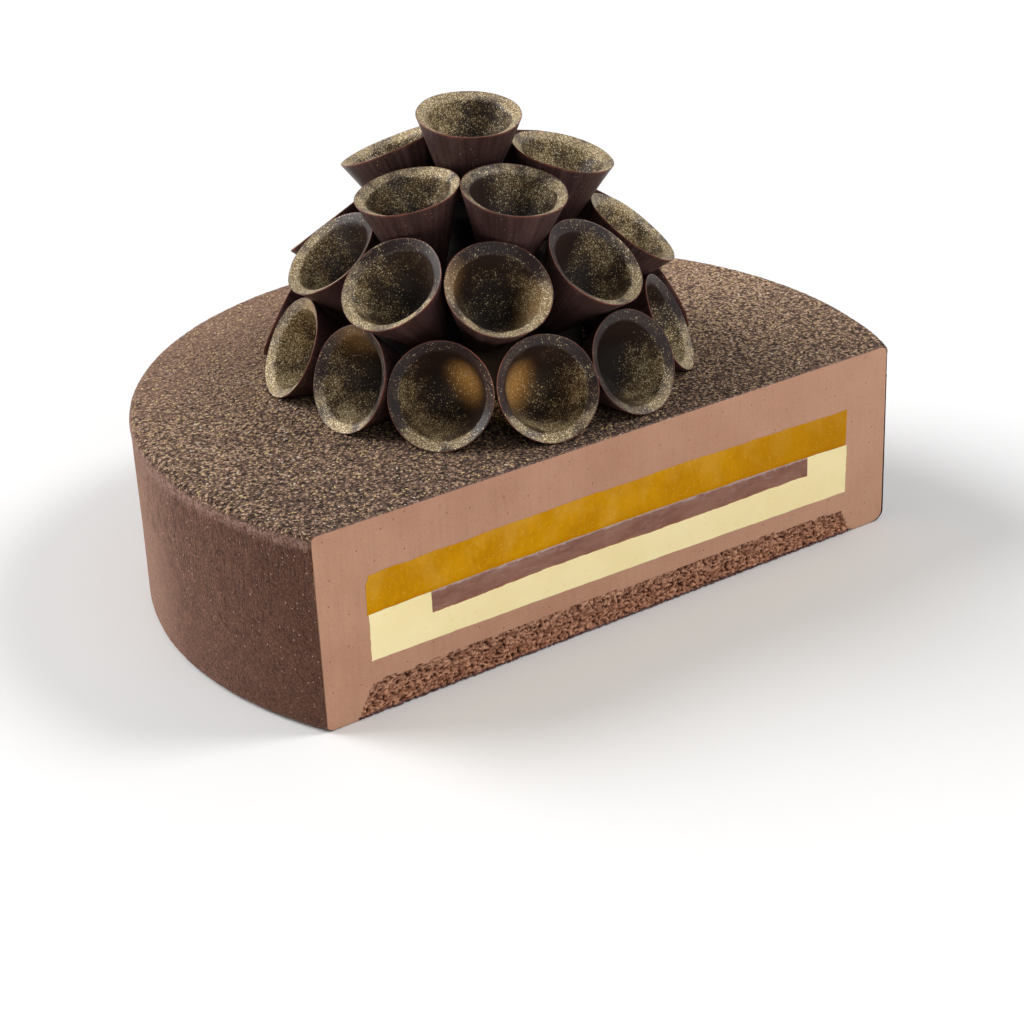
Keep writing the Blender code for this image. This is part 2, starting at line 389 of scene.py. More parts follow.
def makeLayer(name, radius, shift, under, upper, proud, across, upright, worn=0):
    def shape(side, back, up):
        x, y = onDisc(side, back, radius)
        x += shift * (1 - back)
        low, top = surfaceOf(under, x, y), surfaceOf(upper, x, y)
        z = low + (top - low) * up
        if back == 0:
            ends = max(abs(side) - endShare, 0) / (1 - endShare)
            x += ends * layers["endWear"] * sway(z, layers["endWearSize"], 50 + shift / mm)
            if side < 0:
                x += ends * worn * eased(z, top - layers["cornerHeight"], top)
            y -= proud
        return x, y, z
    piece = halfDisc(name, across, upright, layers["deep"], shape)
    rises = []
    for corner in piece.data.vertices:
        x, y, z = corner.co
        low, top = surfaceOf(under, x, y), surfaceOf(upper, x, y)
        rises.append((z - low) / (top - low))
    keepValues(piece, "up", rises)
    smooth(piece, 40)
    return piece


print("layers")
jellyPiece = makeLayer("jelly_layer", layers["fillingRadius"], layers["jellyShift"],
                       "jellyUnder", "jellyUpper", 2 * layers["proud"], 420, 14,
                       layers["cornerWear"])
creamPiece = makeLayer("cream_layer", layers["fillingRadius"], layers["creamShift"],
                       "creamUnder", "jellyUnder", layers["proud"], 360, 14)
insertPiece = makeLayer("insert_layer", layers["insertRadius"], layers["insertShift"],
                        "insertUnder", "jellyUnder", 1.7 * layers["proud"], 360, 8)


# the sponge: torn crumb at the cut
sponge = {
    "low": 81.9 * mm, "high": 78.6 * mm, "height": 7.3 * mm, "shift": -1.2 * mm,
    "across": 760, "upright": 42, "deep": 8,
    "crumb": 0.95 * mm, "smallCrumb": 0.5 * mm, "pore": 1.7 * mm, "poreDepth": 0.95,
    "relief": 0.85 * mm, "proud": 0.30 * mm, "layering": 1.45, "endWear": 0.5 * mm,
    "seed": Vector((3.1, 7.7, 1.9)),
}


def spongeTop(x):
    bow = 0.6 * mm * (1 - (x / (60 * mm)) ** 2) - 0.009 * x
    ragged = 0.32 * mm * sway(x, 2.2 * mm, 4) + 0.18 * mm * sway(x, 0.8 * mm, 5)
    return sponge["height"] + bow + ragged


def grainRise(spot, size, seed):
    # round grains of uneven size, 0 in the gaps and 1 on the largest
    distances, centres = noise.voronoi(spot / size + seed)
    own = 0.5 + 0.5 * noise.cell(centres[0] * 9.7)
    reach = 0.5 + 0.4 * own
    share = max(1 - (distances[0] / reach) ** 2, 0)
    return math.sqrt(share) * (0.5 + 0.5 * own)


def crumbRise(x, z):
    # 0 in the pores, 1 on the largest crumbs, which lie along the layer
    spot = Vector((x, 0, z * sponge["layering"]))
    spot = spot + 0.45 * mm * noise.noise_vector(spot / (1.1 * mm))
    large = grainRise(spot, sponge["crumb"], sponge["seed"])
    small = grainRise(spot, sponge["smallCrumb"], -sponge["seed"])
    pore = eased(noise.noise(spot / sponge["pore"] * 2 + sponge["seed"]), 0.12, 0.42)
    broad = 0.5 + 0.5 * noise.noise(spot / (4 * mm))
    rise = max(large, 0.8 * small) * 0.62 + 0.2 * small + 0.25 * broad
    return rise * (1 - sponge["poreDepth"] * pore)


def spongeShape(side, back, up):
    radius = sponge["low"] + (sponge["high"] - sponge["low"]) * up
    x, y = onDisc(side, back, radius)
    x += sponge["shift"] * (1 - back)
    if back == 0:
        ends = max(abs(side) - endShare, 0) / (1 - endShare)
        x += ends * sponge["endWear"] * sway(up, 0.16, 9)
    top = spongeTop(x)
    if back == 0:
        y += sponge["relief"] * (0.95 - crumbRise(x, top * up)) - sponge["proud"]
        y = max(y, frontY - sponge["proud"])
    return x, y, top * up


print("sponge")
spongePiece = halfDisc("sponge_base", sponge["across"], sponge["upright"], sponge["deep"],
                       spongeShape)
keepValues(spongePiece, "rise", [crumbRise(corner.co.x, corner.co.z)
                                 for corner in spongePiece.data.vertices])
smooth(spongePiece, 75)


# the real cake's round side isn't quite upright: how far it stands out at its left and
# right end, at the top and at the foot, and how its top edge is rounded
roundSide = {
    "leftTop": 0.9 * mm, "leftFoot": 0.2 * mm, "rightTop": -0.2 * mm, "rightFoot": 0.8 * mm,
    "leftRounding": 1.15 * mm, "rightRounding": 1.6 * mm, "farRounding": 2.6 * mm,
    "roundingReach": 24 * mm,
}


def swell(x, y, z):
    turn = (math.atan2(y - axisY, x) + 2 * math.pi + 0.5) % (2 * math.pi)
    around = min(max(turn / (math.pi + 1), 0), 1)
    share = z / cakeTop
    left = roundSide["leftFoot"] + (roundSide["leftTop"] - roundSide["leftFoot"]) * share
    right = roundSide["rightFoot"] + (roundSide["rightTop"] - roundSide["rightFoot"]) * share
    return right + (left - right) * around


def edgeRounding(x, y):
    atCut = roundSide["leftRounding"] if x < 0 else roundSide["rightRounding"]
    share = eased(y - frontY, 0, roundSide["roundingReach"])
    return atCut + (roundSide["farRounding"] - atCut) * share


# the mousse round the layers
mousse = {
    "coat": 0.25 * mm, "across": 270, "upright": 80, "deep": 20,
    "lowLeftRounding": 1.2 * mm, "lowRightRounding": 2.6 * mm,
    "pocketDepth": 1.8 * mm, "pocketMargin": 0.35 * mm, "baseLift": 0.5 * mm,
}


def mousseOutline(up, side, back):
    # the round side's radius and height; the lower right corner is rounder
    radius, top = cakeRadius - mousse["coat"], cakeTop - mousse["coat"]
    z = top * up
    upper = edgeRounding(*onDisc(side, back, radius)) - 0.7 * mousse["coat"]
    lower = (mousse["lowLeftRounding"]
             + (mousse["lowRightRounding"] - mousse["lowLeftRounding"])
             * eased(side, -0.6, 0.9) ** 4)
    for rounding, depth in ((upper, top - z), (lower, z)):
        if depth < rounding:
            radius -= rounding - math.sqrt(max(rounding ** 2 - (rounding - depth) ** 2, 0))
    return radius, z


def inSponge(x, z):
    share = z / sponge["height"]
    radius = sponge["low"] + (sponge["high"] - sponge["low"]) * share
    half = math.sqrt(radius ** 2 - cutDistance ** 2) - mousse["pocketMargin"]
    return abs(x - sponge["shift"]) < half and z < spongeTop(x) - mousse["pocketMargin"]


def mousseShape(side, back, up):
    radius, z = mousseOutline(up, side, back)
    x, y = onDisc(side, back, radius)
    stretched = 1 + swell(x, y, z) / radius
    x *= 1 + (stretched - 1) * abs(side) if back == 0 else stretched
    if back == 0 and inSponge(x, z):
        y += mousse["pocketDepth"]
    if back > 0:
        y = axisY + (y - axisY) * stretched
    if z == 0 and math.hypot(x, y - axisY) < sponge["low"] - mousse["pocketMargin"]:
        z = mousse["baseLift"]
    return x, max(y, frontY), z


print("mousse")
moussePiece = halfDisc("mousse_body", mousse["across"], mousse["upright"], mousse["deep"],
                       mousseShape)
smooth(moussePiece, 40)


# the cups' places, read from the frame
cupRim = 12.2 * mm
cupSlope = 0.362                       # how much a cup widens along its axis


def cupPlace(node):
    # the rim's corners lie furthest from the middle, and their middle is the mouth's
    corners = {tuple(round(value, 6) for value in corner.co)
               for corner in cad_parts[node].data.vertices}
    corners = [Vector(corner) for corner in corners]
    middle = sum(corners, Vector()) / len(corners)
    reach = max((corner - middle).length for corner in corners)
    rim = [corner for corner in corners if (corner - middle).length > reach - 0.3 * mm]
    mouth = sum(rim, Vector()) / len(rim)
    return mouth, (mouth - middle).normalized()


cupNodes = sorted(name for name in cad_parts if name.startswith("cup_"))
cupPlaces = {node: cupPlace(node) for node in cupNodes}
lowCups = [place for node, place in cupPlaces.items() if node.startswith("cup_low")]


# the sprayed coat: coarse grains on top, fading over the edge to a fine wall
coat = {
    "pitch": 0.54 * mm, "lift": 0.12 * mm, "atCut": 0.02 * mm, "thickness": 0.28 * mm,
    "backLift": 0.30 * mm, "roundingSteps": 7, "wallSteps": 9, "wallReach": 5.4 * mm,
    "grain": 1.2 * mm, "rise": 0.26 * mm, "smallGrain": 0.70 * mm,
    "pearlSpacing": 2.5 * mm, "pearlRise": 0.55 * mm,
    "wave": 0.10 * mm, "waveSize": 7 * mm, "edgeBand": 6 * mm,
    "fadeLow": 3.6 * mm, "fadeHigh": 0.9 * mm,     # the grain fades down the edge, under the top
    "pearlsFrom": -10 * mm, "pearlsTo": 45 * mm, "liftFrom": -45 * mm, "liftTo": 30 * mm,
    "even": 0.42, "cutRise": 0.15 * mm,
    "proud": 0.005 * mm,               # how far the coat stands before the cut
    # a corner over a low cup sinks in steps until the cup is clear of it
    "dentReach": 26 * mm, "dentDepth": 21.3 * mm, "dentMargin": 0.15 * mm,
    "dentStep": 0.25 * mm, "dentSteps": 12,
    "seed": Vector((5.3, 2.1, 8.4)), "pieces": (-40 * mm, 0, 40 * mm),
}


def pearlRise(spot):
    # a few round pearls, 0 beside them and 1 on their tops
    distances, centres = noise.voronoi(spot / coat["pearlSpacing"] + coat["seed"])
    reach = 0.21 + 0.05 * noise.cell(centres[0] * 7.3)
    return math.sqrt(max(1 - (distances[0] / reach) ** 2, 0))


def topRise(spot):
    radius = math.hypot(spot.x, spot.y - axisY)
    edge = eased(cakeRadius - radius, 0, coat["edgeBand"])
    bent = spot + 0.12 * mm * noise.noise_vector(spot / (1.1 * mm))
    large = grainRise(bent, coat["grain"], coat["seed"])
    small = grainRise(bent, coat["smallGrain"], -coat["seed"])
    return max(large, 0.72 * small), edge


def wallWave(spot):
    return coat["wave"] * noise.noise(Vector((spot.x, spot.y, spot.z * 0.3)) / coat["waveSize"])


def dentedBy(spot):
    # how far a corner of the coat is pushed down to stay out of the lowest cups
    depth = 0.0
    for mouth, out in lowCups:
        if (spot - mouth).length > coat["dentReach"]:
            continue
        for step in range(coat["dentSteps"]):
            offset = spot - Vector((0, 0, depth)) - mouth
            along = offset.dot(out)
            around = (offset - out * along).length
            outer = cupRim + coat["dentMargin"] + along * cupSlope
            if not -coat["dentDepth"] <= along <= 0 or around > outer:
                break
            depth += coat["dentStep"]
    return depth


def placeOnRing(corner, inward, height):
    # moves a corner out to the round side, less an inward step; on the cut it slides along it
    x, y = corner.co.x, corner.co.y
    radius = cakeRadius - inward + swell(x, y, height)
    if abs(y - frontY) < coat["atCut"]:
        corner.co = math.copysign(math.sqrt(radius ** 2 - cutDistance ** 2), x), frontY, height
    else:
        turn = math.atan2(y - axisY, x)
        corner.co = radius * math.cos(turn), axisY + radius * math.sin(turn), height
        if corner.co.y < frontY + 2 * coat["atCut"]:
            corner.co.y = frontY + 2 * coat["atCut"]


def ringStep(share, x, y):
    # how far in and how high the rounded edge is, from 0 on top to 1 on the wall
    turn = share * math.pi / 2
    rounding = edgeRounding(x, y)
    return (rounding - rounding * math.sin(turn),
            cakeTop - rounding + rounding * math.cos(turn))


def makeCoatTop():
    depth = cutDistance + cakeRadius
    bpy.ops.mesh.primitive_grid_add(
        x_subdivisions=int(2 * cakeRadius / coat["pitch"]),
        y_subdivisions=int(depth / coat["pitch"]), size=1,
        location=(0, frontY + depth / 2, cakeTop))
    piece = nameIt("velvet_top")
    piece.scale = 2 * cakeRadius, depth, 1
    settle(piece)
    openMesh(piece)
    bpy.ops.mesh.select_mode(type='VERT')
    bpy.ops.mesh.select_all(action='DESELECT')
    mesh = bmesh.from_edit_mesh(piece.data)
    for corner in mesh.verts:
        spot = corner.co
        flat = cakeRadius - edgeRounding(spot.x, spot.y) - 0.3 * coat["pitch"]
        corner.select_set(math.hypot(spot.x, spot.y - axisY) > flat)
    bpy.ops.mesh.delete(type='VERT')
    pickEdges(piece, lambda spot: True)
    mesh = bmesh.from_edit_mesh(piece.data)
    for edge in mesh.edges:
        if edge.select and all(abs(corner.co.y - frontY) < coat["atCut"] for corner in edge.verts):
            edge.select_set(False)
    bmesh.update_edit_mesh(piece.data)
    for corner in pickedCorners(piece):
        placeOnRing(corner, *ringStep(0, corner.co.x, corner.co.y))
    for step in range(1, coat["roundingSteps"] + 1):
        bpy.ops.mesh.extrude_region_move()
        for corner in pickedCorners(piece):
            share = step / coat["roundingSteps"]
            placeOnRing(corner, *ringStep(share, corner.co.x, corner.co.y))
    for step in range(1, coat["wallSteps"] + 1):
        bpy.ops.mesh.extrude_region_move()
        for corner in pickedCorners(piece):
            top = cakeTop - edgeRounding(corner.co.x, corner.co.y)
            foot = cakeTop - roundSide["farRounding"] - coat["wallReach"]
            share = step / coat["wallSteps"]
            placeOnRing(corner, 0.10 * mm * (share == 1), top + (foot - top) * share)
    bpy.ops.mesh.select_all(action='SELECT')
    bpy.ops.mesh.subdivide(number_cuts=1)
    pickEdges(piece, lambda spot: abs(spot.y - frontY) < coat["atCut"])
    bpy.ops.mesh.extrude_region_move()            # the coat's own thickness at the cut
    for corner in pickedCorners(piece):
        onTop = corner.co.z > cakeTop - 0.1 * mm
        corner.co.z -= coat["thickness"] * onTop
        corner.co.x -= math.copysign(coat["thickness"], corner.co.x) * (not onTop)
        corner.co.y -= coat["proud"]
    turnOutwards()
    closeMesh()
    return piece


def roughenTop(piece):
    rises, edges = [], []
    for corner, normal in zip(piece.data.vertices, outward(piece)):
        spot = corner.co.copy()
        rise, edge = topRise(spot)
        upper = eased(spot.z, cakeTop - coat["fadeLow"], cakeTop - coat["fadeHigh"])
        strength = upper * (0.6 + 0.4 * edge)
        left = 0.3 + 0.7 * eased(-spot.x, coat["pearlsFrom"], coat["pearlsTo"])
        pearl = pearlRise(spot) * coat["pearlRise"] * left * upper
        lift = coat["lift"] + coat["backLift"] * eased(spot.y, coat["liftFrom"], coat["liftTo"])
        height = coat["rise"] * (rise - coat["even"]) * strength + lift * upper
        height = max(height, pearl) if pearl > 0 else height
        height += wallWave(spot) * (1 - upper)
        inside = spot.y < frontY - 0.002 * mm
        if inside:
            corner.co = spot
        elif spot.y < frontY + coat["atCut"]:
            corner.co = spot + Vector((0, 0, min(height, coat["cutRise"]) * upper))
        else:
            corner.co = spot + normal * height
            corner.co.y = max(corner.co.y, frontY)
        corner.co.z -= dentedBy(corner.co)
        rises.append(rise * strength + pearl / coat["pearlRise"] * 0.5 + 0.5 * (1 - strength))
        edges.append(1.0 if spot.y < frontY + coat["atCut"] else 0.0)
    keepValues(piece, "rise", rises)
    keepValues(piece, "cutEdge", edges)


def splitTop(piece):
    # parted across, so that no piece is too large
    pieces = [piece]
    for number, limit in enumerate(coat["pieces"]):
        openMesh(piece)
        pickFaces(piece, lambda spot: spot.x < limit)
        bpy.ops.mesh.separate(type='SELECTED')
        closeMesh()
        parted = [made for made in bpy.context.selected_objects if made is not piece][0]
        parted.name = parted.data.name = "velvet_top_" + str(number + 1)
        pieces.append(parted)
    return pieces


print("coat")
topPiece = makeCoatTop()
roughenTop(topPiece)
smooth(topPiece, 180)
topPieces = splitTop(topPiece)

wall = {
    "sides": 1080, "rows": 74, "rounding": 1.5 * mm, "roundingSteps": 4,
    "grain": 0.7 * mm, "rise": 0.07 * mm,
}


def wallProfile():
    # radius and height, from under the lower edge up behind the top's coat
    lower = wall["rounding"]
    points = [(cakeRadius - lower - 1.5 * mm, 0)]
    for step in range(wall["roundingSteps"] + 1):
        turn = math.pi / 2 * step / wall["roundingSteps"]
        points.append((cakeRadius - lower + lower * math.sin(turn), lower - lower * math.cos(turn)))
    top = cakeTop - roundSide["farRounding"] - coat["wallReach"] + 0.3 * mm
    for row in range(1, wall["rows"] + 1):
        points.append((cakeRadius, lower + (top - lower) * row / wall["rows"]))
    return points


def makeCoatSide():
    piece = growRings("velvet_side", wall["sides"], wallProfile(), (0, axisY, 0))
    bpy.ops.mesh.select_all(action='SELECT')
    bpy.ops.mesh.bisect(plane_co=(0, frontY, 0), plane_no=(0, 1, 0), clear_inner=True)
    turnOutwards()
    pickEdges(piece, lambda spot: abs(spot.y - frontY) < 0.002 * mm)
    bpy.ops.mesh.extrude_region_move()
    for corner in pickedCorners(piece):
        corner.co.x -= math.copysign(coat["thickness"], corner.co.x)
        corner.co.y -= coat["proud"]
    closeMesh()
    return piece


def arcStep(rounding, height):
    # how far a rounded foot of this radius stands back at a height
    if height >= rounding:
        return 0.0
    return rounding - math.sqrt(rounding ** 2 - (rounding - max(height, 0)) ** 2)


def lowTuck(spot):
    # at the right end of the cut the foot is rounder
    reach = 1 - eased(spot.y - frontY, 4 * mm, roundSide["roundingReach"])
    rounder = arcStep(mousse["lowRightRounding"], spot.z) - arcStep(wall["rounding"], spot.z)
    return max(rounder, 0) * reach * (spot.x > 0)


def roughenSide(piece):
    rises, edges = [], []
    for corner, normal in zip(piece.data.vertices, outward(piece)):
        spot = corner.co.copy()
        rise = grainRise(spot, wall["grain"], coat["seed"])
        level = Vector((spot.x, spot.y - axisY, 0)).normalized()
        near = eased(spot.y - frontY, 0, 1.0 * mm)
        height = wall["rise"] * (rise - 0.5) * near + wallWave(spot)
        atCut = spot.y < frontY + coat["atCut"]
        outwards = swell(*spot) - lowTuck(spot)
        if atCut:
            corner.co = spot + Vector((math.copysign(outwards * 1.12, spot.x), 0, 0))
        else:
            corner.co = spot + normal * height + level * outwards
        rises.append(0.5 + 0.3 * (rise - 0.5))
        edges.append(1.0 if atCut else 0.0)
    keepValues(piece, "rise", rises)
    keepValues(piece, "cutEdge", edges)


sidePiece = makeCoatSide()
roughenSide(sidePiece)
smooth(sidePiece, 180)


# the cups
cup = {
    "sides": 48, "lipInner": 9.6 * mm, "lipOuter": 10.2 * mm, "depth": 12.5 * mm,
    # radius and height in mm, from the hollow's bottom over the lip down to the outer end
    "profile": ((0.9, -12.45), (2.0, -12.2), (3.1, -11.7), (4.2, -10.9), (5.2, -9.9),
                (6.1, -8.8), (7.0, -7.4), (7.8, -5.9), (8.45, -4.5), (9.0, -3.2), (9.4, -2.2),
                (9.68, -1.5), (9.95, -1.2), (10.6, -0.84), (11.3, -0.46), (11.8, -0.18),
                (12.1, -0.05),
                (12.2, -0.14), (12.12, -0.4), (11.0, -3.4), (8.6, -10.0),
                (6.0, -17.2), (5.1, -19.8), (4.5, -20.7), (3.4, -21.0)),
    "uneven": 0.20 * mm, "oval": 0.014, "seed": 21, "ringSize": 10 * mm,
    # where the gold dust was blown from (right, up, nearer the camera), and how much more of it;
    # the same spread also puts painted light on the sides of each hollow and lip that face it
    "dustLightFrom": {"": (-0.2, 0.9, 0.2, 0.0),
              "cup_top_01": (0.8, 0.5, -0.1, 0.22), "cup_upper_02": (0.2, 0.8, 0.3, 0.02),
              "cup_upper_03": (-0.1, 0.8, 0.3, -0.12), "cup_upper_04": (-0.35, 0.6, 0.5, -0.28),
              "cup_upper_05": (0.5, 0.5, 0.6, 0.26), "cup_middle_04": (0.3, 0.9, 0.2, 0.0),
              "cup_middle_05": (0.3, 0.9, 0.1, 0.0), "cup_middle_06": (0.5, 0.85, 0.1, 0.0),
              "cup_middle_07": (0.0, 0.8, 0.5, -0.24), "cup_middle_08": (-0.5, 0.6, 0.6, -0.18),
              "cup_middle_09": (0.1, 0.9, 0.4, 0.28), "cup_low_06": (0.4, 0.9, 0.1, 0.50),
              "cup_low_07": (0.5, 0.8, 0.1, 0.12), "cup_low_08": (0.65, 0.75, 0.1, -0.06),
              "cup_low_09": (-0.3, 0.9, 0.2, -0.06), "cup_low_10": (-0.8, 0.5, 0.2, -0.12)},
    # patches of amber painted glow in a hollow, lit also by the spot lamps: to its right, upward,
    # from the axis, deep, strength
    "paintedGlow": {"cup_low_08": ((0.78, 0.62, 6.0, 8.9, 1.0),),
              "cup_low_09": ((-0.92, 0.40, 5.6, 9.2, 1.0),),
              "cup_middle_07": ((0.97, -0.25, 8.6, 4.5, 0.6), (-0.95, 0.3, 11, 0.5, 0.3)),
              "cup_low_06": ((0.2, 1.0, 10, 1.5, 0.5),),
              "cup_low_07": ((-0.4, 0.9, 9.4, 2.6, 0.35),),
              "cup_middle_05": ((0.6, -0.8, 7.8, 6, 0.35),)},
    "paintedGlowReach": 8.0 * mm,
}


def paintedGlowPatches(node):
    # the middle of each patch of painted amber glow in a cup's hollow, and its strength
    mouth, out = cupPlaces[node]
    for right, up, radius, depth, strength in cup["paintedGlow"].get(node, ()):
        toward = asSeen(right, 0, up)
        toward = (toward - out * toward.dot(out)).normalized()
        yield mouth + toward * radius * mm - out * depth * mm, strength


def paintedGlowAt(patches, place):
    # how much painted amber glow a corner has, fading with its distance from the patches' middles
    reach = cup["paintedGlowReach"]
    return max([strength * (1 - eased((place - middle).length, 0.05 * reach, reach))
                for middle, strength in patches], default=0.0)


def dustLightFor(node):
    # the direction the dust came from, which also sets the painted light, and how much more or less
    # of it there is
    right, up, nearer, more = cup["dustLightFrom"].get(node, cup["dustLightFrom"][""])
    return asSeen(right, nearer, up).normalized(), more


def makeFirstCup():
    points = [(radius * mm, height * mm) for radius, height in cup["profile"]]
    piece = growRings("cup_first", cup["sides"], points, (0, 0, 0), 'TRIFAN')
    bpy.ops.mesh.edge_face_add()
    bpy.ops.mesh.poke()
    turnOutwards()
    closeMesh()
    useModifier(piece, 'SUBSURF', levels=1, render_levels=1)
    smooth(piece, 180)
    return piece


def cupZones(spot):
    # how far inside the cup a corner is, how much on the lip, and how near the sharp rim
    around = math.hypot(spot.x, spot.y)
    outer = cupRim + cupSlope * spot.z
    inside = eased(outer - around, 0.04 * mm, 0.35 * mm)
    lip = inside * eased(around, cup["lipInner"], cup["lipOuter"])
    rim = max(1 - math.hypot(around - cupRim, spot.z + 0.16 * mm) / (0.26 * mm), 0)
    return inside, lip, rim


def makeCup(first, node, rng):
    mouth, out = cupPlaces[node]
    takeUp(first)
    bpy.ops.object.duplicate()
    piece = nameIt(node.replace("cup_", "chocolate_cup_"))
    spin, shift = rng.uniform(0, 2 * math.pi), Vector([rng.uniform(-90, 90) for axis in range(3)])
    oval, side = 1 + rng.uniform(-1, 1) * cup["oval"], rng.uniform(0, math.pi)
    dustLightFrom, more = dustLightFor(node)
    patches = list(paintedGlowPatches(node))
    dusty = rng.uniform(-0.04, 0.04) + more
    turn = out.to_track_quat('Z', 'Y').to_matrix() @ Matrix.Rotation(spin, 3, 'Z')
    kept = {name: [] for name in ("inside", "lip", "rim", "dustLightShade", "deep", "paintedGlow",
                                  "own", "around")}
    for corner, normal in zip(piece.data.vertices, outward(piece)):
        spot = corner.co.copy()
        inside, lip, rim = cupZones(spot)
        level = Vector((spot.x, spot.y, 0)).normalized() * cup["ringSize"]
        facing = turn @ normal
        # dust on the sides that face its direction and on lips that face up; it also stands in for
        # the lit sides as painted light
        lit = 0.62 * eased(facing.dot(dustLightFrom), -0.15, 0.8) * (1 - 0.4 * lip)
        lit += 0.8 * lip * (eased(facing.z, 0.4, 0.95) - 0.3)
        # the dust thins towards the hollow's bottom: painted shade
        fade = 1 - 0.75 * eased(-spot.z, 0.3 * cup["depth"], 0.95 * cup["depth"])
        dustLightShade = max((0.12 + lit + dusty) * fade, 0.10 * lip) * inside + 0.05 * (1 - inside)
        deep = eased(-spot.z, 0.45 * cup["depth"], cup["depth"]) * inside
        paintedGlow = paintedGlowAt(patches, mouth + turn @ spot) * inside
        found = ((inside,), (lip,), (rim,), (min(max(dustLightShade, 0), 1),), (deep,), (paintedGlow,),
                 spot + shift * mm, level + shift * mm + Vector((0, 0, spot.z)))
        for name, value in zip(kept, found):
            kept[name].extend(value)
        bent = noise.noise_vector(spot / (9 * mm) + shift)
        stretched = Matrix.Rotation(side, 3, 'Z').inverted() @ spot
        stretched.x *= oval
        spot = Matrix.Rotation(side, 3, 'Z') @ stretched
        corner.co = mouth + turn @ (spot + cup["uneven"] * bent)
    for name, values in kept.items():
        keepValues(piece, name, values)
    return piece


print("cups")
firstCup = makeFirstCup()
rng = random.Random(cup["seed"])
cupPieces = {node: makeCup(firstCup, node, rng) for node in cupNodes}
bpy.data.objects.remove(firstCup, do_unlink=True)


# the core that the cups are stuck to, near black as painted shade between the cups
dome = {
    "sides": 72, "lump": 5 * mm, "uneven": 0.45 * mm, "inset": 0.15 * mm,
    # radius and height in mm over its foot
    "profile": ((25.0, 0), (25.0, 6.6), (24.6, 8.6), (23.2, 13.0), (20.6, 15.6), (18.7, 18.0),
                (18.4, 23.6), (16.2, 25.6), (12.9, 26.8), (10.6, 29.2), (9.4, 31.5),
                (9.2, 37.6), (8.2, 39.0), (4.0, 39.2)),
}


def makeDome():
    points = [(radius * mm - dome["inset"], height * mm) for radius, height in dome["profile"]]
    piece = growRings("mound_dome", dome["sides"], points, (moundX, moundY, coreLow.z), 'NGON')
    bpy.ops.mesh.poke()
    bpy.ops.mesh.select_all(action='SELECT')
    bpy.ops.mesh.subdivide(number_cuts=1)
    bpy.ops.mesh.normals_make_consistent(inside=False)
    closeMesh()
    for corner, normal in zip(piece.data.vertices, outward(piece)):
        if corner.co.z > coreLow.z + 0.01 * mm:
            corner.co -= normal * dome["uneven"] * (
                0.5 + 0.5 * noise.noise(corner.co / dome["lump"]))
    smooth(piece, 60)
    return piece


domePiece = makeDome()


# finishes
velvet = {
    "grain": 0.44 * mm, "lump": 0.92 * mm, "wallGrain": 0.34 * mm, "fleckSize": 0.62 * mm,
    "topDark": (44, 28, 22), "topMiddle": (128, 97, 79), "topLight": (220, 186, 158),
    "goldLight": (218, 184, 116), "brightGrain": (246, 222, 150), "paintedGlint": (252, 244, 228),
    "wallDark": (62, 35, 26), "wallMiddle": (101, 65, 50), "wallLight": (142, 101, 80),
    "wallPaintedLight": (182, 142, 122),
    "fleck": (226, 200, 182), "rosy": (160, 128, 118),
}


